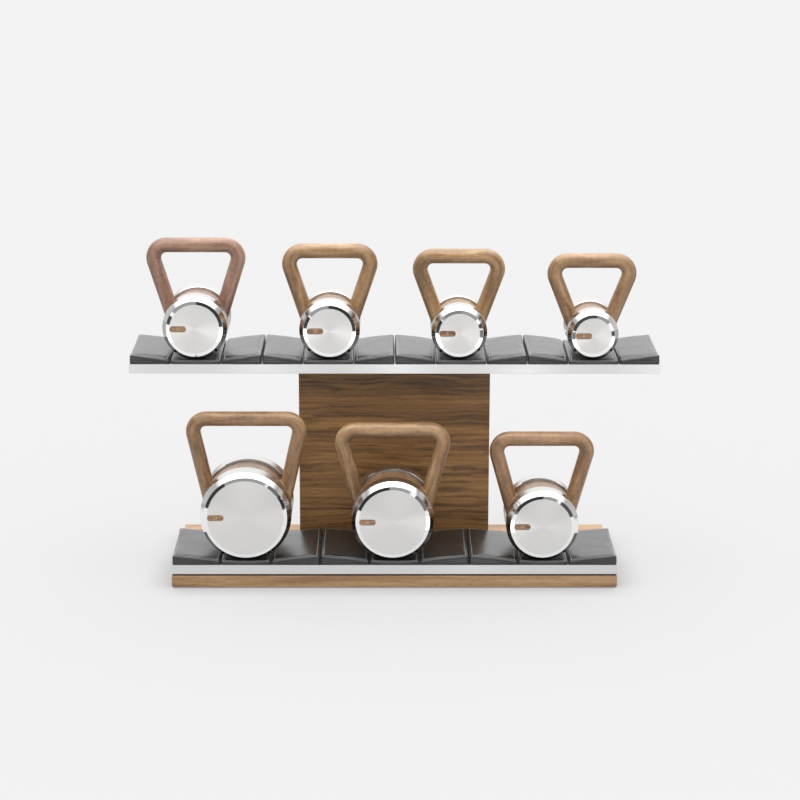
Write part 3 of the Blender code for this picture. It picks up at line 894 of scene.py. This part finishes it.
def finish_pad(mesh, field, shift, seed, low, high):
    """Swells a pad as its prototype swelled, puckers it along its sewn line, and settles it under the weights."""
    sizes = settings()[0]
    rest = [v.co.copy() for v in mesh.vertices]
    for vertex, place in zip(mesh.vertices, rest):
        edge = min(place.x - low.x, high.x - place.x, place.y - low.y, high.y - place.y)
        point = place.copy()
        if field:
            tree, moved = field
            found = tree.find_n(place - Vector((shift, 0, 0)), 5)
            weights = [1 / (d + 1e-4) for _, _, d in found]
            total = sum(weights)
            for (_, i, _), weight in zip(found, weights):
                point += Vector(moved[i]) * (weight / total)
        # Puckers: the thread gathers the leather slightly between stitches.
        away = abs(edge - sizes.topstitch_inset)
        if place.z > low.z + 0.0015:
            pucker = noise.noise(Vector((place.x * PUCKER_SCALE, place.y * PUCKER_SCALE, seed * 3.1)))
            point.z += PUCKER_DEPTH * pucker * exp(-(away / PUCKER_REACH) ** 2)
            sag = noise.noise(Vector((place.x * SAG_SCALE, place.y * SAG_SCALE, seed * 1.7)))
            point.z += SAG_DEPTH * sag * min(1.0, edge / SAG_INSET)
        # The border stays on its line: neighbours are close.
        point.x = min(max(point.x, low.x), high.x)
        point.y = min(max(point.y, low.y - 0.0006), high.y + 0.0006)
        if place.z <= low.z + BORDER_FOOT:
            point = place
        ceiling = weight_floor(point.x, point.y, point.z)
        if ceiling is not None:
            point.z = min(point.z, max(ceiling - UNDER_WEIGHT, low.z + LEAST_HEIGHT))
        vertex.co = point
    mesh.update()


class RACK_OT_pads(bpy.types.Operator):
    """Make the leather pads: stuffed by the cloth simulation, rolled at the edges and settled under the weights"""

    bl_idname = "rack.pads"
    bl_label = "Leather pads"

    def execute(self, context):
        fields = stuff_prototypes()
        first = {tier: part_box(f"{tier}_seat_1")[0].x for tier in STATIONS}
        for seed, (node, kind, tier, station) in enumerate(pad_names()):
            name = node.replace(tier, f"{tier}_pad")
            mesh = pad_mesh(node, kind, name)
            low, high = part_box(node)
            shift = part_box(f"{tier}_seat_{station}")[0].x - first[tier]
            finish_pad(mesh, fields.get((tier, kind)), shift, seed, low, high)
            piece = add_piece(name, mesh, [finish("pad")], "rack", [node])
        return {"FINISHED"}


class RACK_OT_stitches(bpy.types.Operator):
    """Sew a row of stitches round the top of each pad"""

    bl_idname = "rack.stitches"
    bl_label = "Stitches"

    def execute(self, context):
        sizes = settings()[0]
        tree = stitch_nodes(sizes.stitch_pitch, sizes.stitch_length, sizes.thread_radius)
        graph = context.evaluated_depsgraph_get()
        for tier in STATIONS:
            points, edges = [], []
            for node, _, pad_tier, _ in pad_names():
                if pad_tier != tier:
                    continue
                pad = bpy.data.objects[node.replace(tier, f"{tier}_pad")]
                surface = BVHTree.FromObject(pad, graph)
                low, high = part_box(node)
                inset = sizes.topstitch_inset
                corners = [(low.x + inset, low.y + inset), (high.x - inset, low.y + inset),
                           (high.x - inset, high.y - inset), (low.x + inset, high.y - inset)]
                first = len(points)
                for (ax, ay), (bx, by) in zip(corners, corners[1:] + corners[:1]):
                    steps = max(2, round(hypot(bx - ax, by - ay) / 0.002))
                    for i in range(steps):
                        x, y = ax + (bx - ax) * i / steps, ay + (by - ay) * i / steps
                        hit = surface.ray_cast(Vector((x, y, high.z + 0.02)), Vector((0, 0, -1)))[0]
                        points.append((x, y, hit.z + 0.25 * sizes.thread_radius))
                last = len(points) - 1
                edges += [(i, i + 1) for i in range(first, last)] + [(last, first)]
            name = f"{tier}_pad_stitches"
            add_piece(name, grown(name, points, edges, tree, finish("thread")), [], "rack")
        return {"FINISHED"}


# ---- kettlebells --------------------------------------------------------------------------------

HUB_EASE = 0.0012          # the easing of the hub's two rims
POCKET_DEPTH = 0.0025
INLAY_DEPTH = 0.0024
INLAY_SUNK = 0.0001        # the inlay's face lies just inside the weight's

def grip_line(facts):
    """The grip's centre line in x and z from the hub's axis, from the left leg's end over the top to the right's.

    Each leg is the outer tangent of its corner's circle and of a circle round the hub's axis.
    """
    sizes = settings()[1]
    half, corner = sizes.handle_diameter / 2, sizes.corner_radius
    leg = facts["radius"] - sizes.hub_inset - half - sizes.leg_inset
    corner_x = facts["width"] / 2 - half - corner
    corner_z = facts["rise"] - half - corner
    lean = atan2(corner_x, corner_z) - asin((leg - corner) / hypot(corner_x, corner_z))
    right = []
    bend, straight, bar = 14, 20, 12     # the steps round a corner, down a leg and across the top
    for i in range(bend + 1):
        outward = pi / 2 - (pi / 2 + lean) * i / bend
        right.append((corner_x + corner * cos(outward), corner_z + corner * sin(outward)))
    end = (leg * cos(lean), -leg * sin(lean))
    start = right[-1]
    for i in range(1, straight + 1):
        right.append((start[0] + (end[0] - start[0]) * i / straight, start[1] + (end[1] - start[1]) * i / straight))
    left = [(-x, z) for x, z in reversed(right)]
    across = [(left[-1][0] + (right[0][0] - left[-1][0]) * i / bar, right[0][1]) for i in range(1, bar)]
    return np.array(left + across + right)


def grain_of(points, line, facts):
    """Grain coordinates and stave numbers: the grain follows the grip, and runs straight across the hub."""
    sizes = settings()[1]
    cx, _, cz = facts["axis"]
    flat = np.stack([points[:, 0] - cx, points[:, 2] - cz], axis=1)
    ends = line[1:] - line[:-1]
    lengths = np.linalg.norm(ends, axis=1)
    reached = np.concatenate([[0], np.cumsum(lengths)])
    total = reached[-1]
    best = np.full(len(points), 1e9)
    along = np.zeros(len(points))
    side = np.zeros(len(points))
    for k, (start, step) in enumerate(zip(line[:-1], ends)):
        t = np.clip(((flat - start) @ step) / lengths[k] ** 2, 0, 1)
        away = flat - start - t[:, None] * step
        far = np.linalg.norm(away, axis=1)
        closer = far < best
        best = np.where(closer, far, best)
        along = np.where(closer, reached[k] + t * lengths[k] - total / 2, along)
        side = np.where(closer, (away[:, 1] * step[0] - away[:, 0] * step[1]) / lengths[k], side)
    depth = points[:, 1] - facts["axis"][1]
    grain = np.stack([along, side, depth], axis=1)
    grip = np.hypot(best, depth) < sizes.handle_diameter / 2 + 0.0008
    hub = ~grip
    grain[hub] = np.stack([flat[hub, 0], flat[hub, 1] + 0.5, depth[hub]], axis=1)
    # Staves: two legs, the top bar, and the hub.
    top = facts["width"] / 2 - sizes.handle_diameter / 2 - 0.3 * sizes.corner_radius
    stave = np.where(hub, 0.5, np.where(np.abs(along) < top, 0.75, np.where(along < 0, 0.35, 0.55)))
    return grain, stave


class RACK_OT_handles(bpy.types.Operator):
    """Carve the walnut handles: a round grip that runs smoothly into a round hub"""

    bl_idname = "rack.handles"
    bl_label = "Handles"

    def execute(self, context):
        sizes = settings()[1]
        tree = bar_nodes(sizes.handle_diameter / 2, 40)
        for number in BELLS:
            facts = BELL_FACTS[number]
            cx, cy, cz = facts["axis"]
            name = f"kettlebell_{number}_grip"
            line = grip_line(facts)
            points = [(cx + x, cy, cz + z) for x, z in line]
            edges = [(i, i + 1) for i in range(len(points) - 1)]
            bar = grown("bar", points, edges, tree, finish("handle"))
            hub_radius = facts["radius"] - sizes.hub_inset
            near, far = facts["hub"]
            profile = [(sizes.bore, near), (hub_radius - HUB_EASE, near), (hub_radius, near + HUB_EASE),
                       (hub_radius, far - HUB_EASE), (hub_radius - HUB_EASE, far), (sizes.bore, far),
                       (sizes.bore, near)]
            hub = cylinder_rings(profile, 96, (cx, cy, cz), "hub")
            joined = bpy.data.meshes.new(name)
            with reworked(joined, hub) as bm:
                bmesh.ops.remove_doubles(bm, verts=bm.verts, dist=MERGE_DISTANCE)
                bmesh.ops.recalc_face_normals(bm, faces=bm.faces)
                bm.from_mesh(bar)
            carrier = in_scene("carving", joined)
            blocks = carrier.modifiers.new("carve", "REMESH")
            blocks.mode = "VOXEL"
            blocks.voxel_size = sizes.fillet_grain
            sand = carrier.modifiers.new("sand", "SMOOTH")
            sand.factor = 0.5
            sand.iterations = 5
            mesh = finished_mesh(carrier, name)
            places = np.zeros(len(mesh.vertices) * 3)
            mesh.vertices.foreach_get("co", places)
            grain, stave = grain_of(places.reshape(-1, 3), line, facts)
            grain[:, 0] += number * 1.7      # each handle is cut from another board
            set_attribute(mesh, "grain", "FLOAT_VECTOR", grain)
            set_attribute(mesh, "stave", "FLOAT", stave)
            set_attribute(mesh, "golden", "FLOAT", np.full(len(mesh.vertices), GOLDEN[number]))
            mesh.polygons.foreach_set("use_smooth", [True] * len(mesh.polygons))
            add_piece(name, mesh, [finish("handle")], f"kettlebell_{number}",
                      [f"kettlebell_{number}_handle"])
        return {"FINISHED"}


def pill(facts, height, width, near, far, name):
    """A pill-shaped block in the front weight's face, with its round ends left and right."""
    sizes = settings()[1]
    cx, _, cz = facts["axis"]
    face = facts["radius"] - sizes.bevel_width - sizes.ring_width
    middle = cx - face + 0.0005 + sizes.inlay_length / 2
    straight = (width - height) / 2
    outline = []
    for side in (1, -1):
        for i in range(17):
            angle = (-pi / 2 + pi * i / 16) + (0 if side == 1 else pi)
            outline.append((middle + side * straight + height / 2 * cos(angle), cz + height / 2 * sin(angle)))
    count = len(outline)
    points = [(x, near, z) for x, z in outline] + [(x, far, z) for x, z in outline]
    faces = [tuple(range(count)), tuple(reversed(range(count, 2 * count)))]
    faces += [(i + 1 if i + 1 < count else 0, i, i + count, (i + 1) % count + count) for i in range(count)]
    return mesh_of(name, points, faces), middle


def weight_profile(radius, thickness):
    """(radius, distance from the outer face) of one weight, from its face's centre to its back's centre."""
    sizes = settings()[1]
    rim = radius - sizes.bevel_width
    face = rim - sizes.ring_width
    rings = [(face * i / 7, 0.0) for i in range(8)]
    return rings + [
        (rim - 0.0004, sizes.ring_fall - 0.00005), (rim + 0.0002, sizes.ring_fall + 0.0005),
        (radius - 0.0003, sizes.ring_fall + sizes.bevel_length - 0.0008),
        (radius, sizes.ring_fall + sizes.bevel_length + 0.0004),
        (radius, thickness - 0.0010), (radius - 0.0008, thickness - 0.0001), (radius - 0.0014, thickness),
        (sizes.bore, thickness), (0.0, thickness),
    ]


class RACK_OT_weights(bpy.types.Operator):
    """Turn the stainless weights, with a pocket for the inlay in each front face"""

    bl_idname = "rack.weights"
    bl_label = "Weights"

    def execute(self, context):
        sizes = settings()[1]
        for number in BELLS:
            facts = BELL_FACTS[number]
            cx, _, cz = facts["axis"]
            face = facts["radius"] - sizes.bevel_width - sizes.ring_width
            for side in ("front", "rear"):
                near, far = facts[side]
                profile = weight_profile(facts["radius"], far - near)
                profile = [(r, near + d if side == "front" else far - d) for r, d in profile]
                name = f"kettlebell_{number}_{side}_disc"
                mesh = cylinder_rings(profile, sizes.sides, facts["axis"], name)
                face_outwards(mesh)
                if side == "front":
                    mesh = self.pocketed(mesh, facts, near, name)
                mesh.materials.clear()
                for polygon in mesh.polygons:
                    away = hypot(polygon.center.x - cx, polygon.center.z - cz)
                    on_side = away > facts["radius"] - 0.0009 and abs(polygon.normal.y) < 0.1
                    polygon.material_index = 2 if on_side else int(away > face - 0.00005)
                sharpen(mesh, 4)
                add_piece(name, mesh, [finish("faced"), finish("polished"), finish("satin")],
                          f"kettlebell_{number}", [f"kettlebell_{number}_{side}_weight"])
            coat(NODES[f"kettlebell_{number}_stud"], finish("zinc"))
        return {"FINISHED"}

    def pocketed(self, mesh, facts, near, name):
        """The weight with a pocket cut for its inlay."""
        sizes = settings()[1]
        room = 2 * sizes.inlay_gap
        shape, _ = pill(facts, sizes.inlay_height + room, sizes.inlay_length + room, near - 0.002,
                        near + POCKET_DEPTH, "cutter")
        face_outwards(shape)
        cutter, blank = in_scene("cutter", shape), in_scene("blank", mesh)
        cut = blank.modifiers.new("pocket", "BOOLEAN")
        cut.operation = "DIFFERENCE"
        cut.solver = "EXACT"
        cut.object = cutter
        done = finished_mesh(blank, name)
        bpy.data.objects.remove(cutter)
        return done


class RACK_OT_inlays(bpy.types.Operator):
    """Set a walnut pill with a plain number into each front weight"""

    bl_idname = "rack.inlays"
    bl_label = "Inlays"

    def execute(self, context):
        sizes = settings()[1]
        for number in BELLS:
            facts = BELL_FACTS[number]
            front = facts["front"][0] + INLAY_SUNK
            name = f"kettlebell_{number}_inlay"
            mesh, middle = pill(facts, sizes.inlay_height, sizes.inlay_length, front, facts["front"][0] + INLAY_DEPTH,
                                name)
            with reworked(mesh) as bm:
                bmesh.ops.recalc_face_normals(bm, faces=bm.faces)
                rim = [e for e in bm.edges if all(abs(v.co.y - front) < 1e-5 for v in e.verts)]
                bmesh.ops.bevel(bm, geom=rim, offset=0.0004, segments=2, profile=0.5, affect="EDGES")
            add_piece(name, mesh, [finish("inlay")], f"kettlebell_{number}")
            letters = bpy.data.curves.new("number", "FONT")
            letters.body = MARKS[number]
            letters.size = sizes.mark_height
            letters.align_x = "CENTER"
            letters.align_y = "CENTER"
            letters.extrude = 0.0002
            letters.resolution_u = 4
            mark = finished_mesh(in_scene("number", letters), f"kettlebell_{number}_mark")
            mark.transform(Matrix.Translation((middle, front + 0.00005, facts["axis"][2]))
                           @ Matrix.Rotation(pi / 2, 4, "X"))
            with reworked(mark) as bm:
                bmesh.ops.remove_doubles(bm, verts=bm.verts, dist=1e-7)
            add_piece(mark.name, mark, [finish("mark")], f"kettlebell_{number}")
        return {"FINISHED"}


HEAD_PLATE = 0.008         # the mast's head plate is this thick
SCREW_INSET = 0.035        # from the head plate's front edge to the screws


class RACK_OT_screws(bpy.types.Operator):
    """Put the screws that hold the upper shelf under the head plate"""

    bl_idname = "rack.screws"
    bl_label = "Screws"

    def execute(self, context):
        low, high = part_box("mast_frame")
        spots = [(x, low.y + SCREW_INSET, high.z - HEAD_PLATE) for x in (-0.17, -0.06, 0.06, 0.17)]
        name = "head_plate_screws"
        mesh = grown(name, spots, [], screw_nodes(settings()[2].screw_head), finish("zinc"))
        add_piece(name, mesh, [], "rack")
        return {"FINISHED"}


# ---- stage --------------------------------------------------------------------------------------

EYE = (-0.027, -4.835, 1.611)                # where the camera stands
PITCH, YAW, ROLL = radians(14.51), radians(0.46), radians(-0.14)
LENS, SENSOR = 105.75, 36.0
BACKDROP = 0.888                             # the studio as the camera sees it
FLOOR_HALF = 60.0
FLOOR_UNDERLIGHT = 0.06                      # what the floor gives back to matt surfaces
# Glowing cards that the polished rings mirror, for each kettlebell: (first angle, last angle, brightness), in
# degrees anticlockwise from the right. A dim one draws a dark arc, and a bright one a light arc.
CARD_DISTANCE = 0.30
CARD_WIDTH = 0.06
CARD_STEPS = 12
ARCS = {
    1: ((5, 85, 0.05), (150, 170, 0.08), (-22, 2, 3.0), (190, 210, 2.0)),
    2: ((0, 92, 0.05), (155, 165, 0.08), (-25, -3, 3.0), (185, 205, 2.0)),
    3: ((85, 130, 0.28), (150, 170, 0.08), (-10, 10, 0.25), (-40, -12, 3.0), (200, 220, 2.0)),
    4: ((80, 165, 0.08), (0, 15, 0.10), (-30, -5, 3.0), (200, 220, 2.0)),
    5: ((120, 165, 0.05), (35, 55, 0.20), (205, 235, 3.0), (-35, -15, 1.8)),
    6: ((95, 160, 0.04), (20, 50, 0.22), (-25, 10, 3.0), (200, 220, 2.0)),
    7: ((90, 150, 0.05), (20, 55, 0.10), (200, 235, 3.0), (-40, -15, 2.0)),
}


class RACK_OT_stage(bpy.types.Operator):
    """Set the pale floor, the soft studio light and the camera"""

    bl_idname = "rack.stage"
    bl_label = "Stage"

    def execute(self, context):
        scene = context.scene
        scene.view_settings.view_transform = "Standard"
        self.light(scene)
        self.floor()
        self.cards()
        self.camera(scene)
        return {"FINISHED"}

    def light(self, scene):
        """An even pale studio, brighter above and behind."""
        world = bpy.data.worlds.new("studio")
        world.use_nodes = True
        tree = world.node_tree
        tree.nodes.clear()
        toward = add(tree, "ShaderNodeTexCoord").outputs["Generated"]
        parts = add(tree, "ShaderNodeSeparateXYZ", {0: toward})
        up = add(tree, "ShaderNodeMapRange", {"Value": parts.outputs["Z"], "From Min": 0.1, "From Max": 0.9,
                                              "To Min": 0.16, "To Max": 3.1})
        behind = add(tree, "ShaderNodeMapRange", {"Value": parts.outputs["Y"], "From Min": 0.1, "From Max": 0.9,
                                                  "To Min": 0.0, "To Max": 0.25})
        soft = add(tree, "ShaderNodeMath", {0: up.outputs[0], 1: behind.outputs[0]}, operation="ADD")
        far = add(tree, "ShaderNodeMapRange", {"Value": parts.outputs["Y"], "From Min": 0.0, "From Max": 0.95,
                                               "To Min": 0.40, "To Max": 1.2})
        over = add(tree, "ShaderNodeMapRange", {"Value": parts.outputs["Z"], "From Min": 0.55, "From Max": 0.95,
                                                "To Min": 0.0, "To Max": 3.0})
        mirrored = add(tree, "ShaderNodeMath", {0: far.outputs[0], 1: over.outputs[0]}, operation="ADD")
        path = add(tree, "ShaderNodeLightPath")
        lit = add(tree, "ShaderNodeMix", {0: path.outputs["Is Glossy Ray"], 2: soft.outputs[0],
                                          3: mirrored.outputs[0]}, data_type="FLOAT")
        level = add(tree, "ShaderNodeMix", {0: path.outputs["Is Camera Ray"], 2: lit.outputs[0], 3: BACKDROP},
                    data_type="FLOAT")
        sky = add(tree, "ShaderNodeBackground", {"Color": grey(1.0), "Strength": level.outputs[0]})
        add(tree, "ShaderNodeOutputWorld", {"Surface": sky.outputs[0]})
        scene.world = world

    def floor(self):
        """A wide pale floor that glows evenly to the camera, apart from a painted contact shadow round the rack; in
        reflections its glow is painted dimmer.
        """
        half = FLOOR_HALF
        mesh = mesh_of("floor", [(-half, -half, 0), (half, -half, 0), (half, half, 0), (-half, half, 0)],
                       [(0, 1, 2, 3)])
        floor = in_scene("floor", mesh)
        mat, tree = empty_material("paper, matt pale")
        # Only close contact darkens the floor's glow: a painted contact shadow, added to the real shade on its matt
        # part.
        # In reflections its glow is painted dimmer towards the rack and dark behind it, and it throws little light up
        # at the wood.
        contact = add(tree, "ShaderNodeAmbientOcclusion", {"Distance": 0.07}, samples=12)
        # Painted contact shadow: the glow is dimmed where the rack is close.
        painted_contact_shadow = add(tree, "ShaderNodeMapRange", {"Value": contact.outputs["AO"], "To Min": 0.16, "To Max": 0.53})
        place = add(tree, "ShaderNodeSeparateXYZ", {0: add(tree, "ShaderNodeTexCoord").outputs["Object"]})
        # Painted reflection: what polished metal sees of the floor, dimmer towards the rack and dark behind it.
        front = add(tree, "ShaderNodeMapRange", {"Value": place.outputs["Y"], "From Min": -2.0, "From Max": -0.6,
                                                 "To Min": 0.86, "To Max": 0.66})
        reflected_dim_behind = add(tree, "ShaderNodeMapRange", {"Value": place.outputs["Y"], "From Min": 0.15, "From Max": 0.6,
                                                "To Min": 1.0, "To Max": 0.2})
        back = add(tree, "ShaderNodeMath", {0: front.outputs[0], 1: reflected_dim_behind.outputs[0]}, operation="MULTIPLY")
        path = add(tree, "ShaderNodeLightPath")
        gloss = add(tree, "ShaderNodeMix", {0: path.outputs["Is Glossy Ray"], 2: painted_contact_shadow.outputs[0],
                                            3: back.outputs[0]}, data_type="FLOAT")
        level = add(tree, "ShaderNodeMix", {0: path.outputs["Is Diffuse Ray"], 2: gloss.outputs[0],
                                            3: FLOOR_UNDERLIGHT}, data_type="FLOAT")
        glow = add(tree, "ShaderNodeEmission", {"Strength": level.outputs[0]})
        matt = add(tree, "ShaderNodeBsdfDiffuse", {"Color": grey(0.16)})
        both = add(tree, "ShaderNodeAddShader", {0: glow.outputs[0], 1: matt.outputs[0]})
        add(tree, "ShaderNodeOutputMaterial", {"Surface": both.outputs[0]})
        mesh.materials.append(mat)

    def cards(self):
        """Cards close in front of each kettlebell, which only shiny surfaces see.

        Each one is bent so that it shows as one arc in the polished ring, between two angles.
        """
        sizes = settings()[1]
        fall = atan2(sizes.ring_fall, sizes.ring_width)
        eye = Vector(EYE)
        for number, arcs in ARCS.items():
            facts = BELL_FACTS[number]
            middle = facts["radius"] - sizes.bevel_width - sizes.ring_width / 2
            near = facts["front"][0]
            for index, (start, end, shade) in enumerate(arcs):
                points = []
                for step in range(CARD_STEPS + 1):
                    angle = radians(start + (end - start) * step / CARD_STEPS)
                    out = Vector((cos(angle), 0, sin(angle)))
                    point = Vector((facts["axis"][0], near, facts["axis"][2])) + out * middle
                    normal = out * sin(fall) + Vector((0, -cos(fall), 0))
                    seen = (point - eye).normalized()
                    away = seen - 2 * seen.dot(normal) * normal
                    hit = point + away * (CARD_DISTANCE / -away.y)
                    points += [hit - out * CARD_WIDTH / 2, hit + out * CARD_WIDTH / 2]
                name = f"card_{number}_{index}"
                mesh = mesh_of(name, points, [(2 * i, 2 * i + 2, 2 * i + 3, 2 * i + 1) for i in range(CARD_STEPS)])
                mat, tree = empty_material(name)
                glow = add(tree, "ShaderNodeEmission", {"Color": grey(shade)})
                add(tree, "ShaderNodeOutputMaterial", {"Surface": glow.outputs[0]})
                mesh.materials.append(mat)
                card = in_scene(name, mesh)
                card.visible_camera = card.visible_diffuse = card.visible_shadow = False
                card.visible_transmission = card.visible_volume_scatter = False

    def camera(self, scene):
        data = bpy.data.cameras.new("camera")
        data.sensor_width = SENSOR
        data.lens = LENS
        flat_right = Vector((cos(YAW), -sin(YAW), 0))
        ahead = Vector((sin(YAW) * cos(PITCH), cos(YAW) * cos(PITCH), -sin(PITCH)))
        flat_up = Vector((sin(YAW) * sin(PITCH), cos(YAW) * sin(PITCH), cos(PITCH)))
        right = flat_right * cos(ROLL) - flat_up * sin(ROLL)
        up = flat_right * sin(ROLL) + flat_up * cos(ROLL)
        scene.camera = in_scene("camera", data)
        scene.camera.matrix_world = Matrix.Translation(EYE) @ Matrix((right, up, -ahead)).transposed().to_4x4()


# ---- add-on -------------------------------------------------------------------------------------

OPERATORS = (RACK_OT_shelves, RACK_OT_base, RACK_OT_column, RACK_OT_pads, RACK_OT_stitches, RACK_OT_handles,
             RACK_OT_weights, RACK_OT_inlays, RACK_OT_screws, RACK_OT_stage)
GROUPS = {"pad_sizes": PadSizes, "bell_sizes": BellSizes, "rack_sizes": RackSizes, "rack_colours": RackColours}


class RACK_PT_panel(bpy.types.Panel):
    """The rack's sizes, colours and steps"""

    bl_idname = "RACK_PT_panel"
    bl_label = "Kettlebell rack"
    bl_space_type = "VIEW_3D"
    bl_region_type = "UI"
    bl_category = "Rack"

    def draw(self, context):
        for operator in OPERATORS:
            self.layout.operator(operator.bl_idname)
        for group, kind in GROUPS.items():
            box = self.layout.box()
            for name in kind.__annotations__:
                box.prop(getattr(context.scene, group), name)


def register():
    for kind in (*GROUPS.values(), *OPERATORS, RACK_PT_panel):
        bpy.utils.register_class(kind)
    for name, kind in GROUPS.items():
        setattr(bpy.types.Scene, name, PointerProperty(type=kind))


def unregister():
    for name in GROUPS:
        delattr(bpy.types.Scene, name)
    for kind in reversed((*GROUPS.values(), *OPERATORS, RACK_PT_panel)):
        bpy.utils.unregister_class(kind)


BELL_FACTS = {number: bell_facts(number) for number in BELLS}


def main():
    register()
    bpy.ops.rack.shelves()
    bpy.ops.rack.base()
    bpy.ops.rack.column()
    bpy.ops.rack.pads()
    bpy.ops.rack.stitches()
    bpy.ops.rack.handles()
    bpy.ops.rack.weights()
    bpy.ops.rack.inlays()
    bpy.ops.rack.screws()
    bpy.ops.rack.stage()


if __name__ == "__main__":
    main()
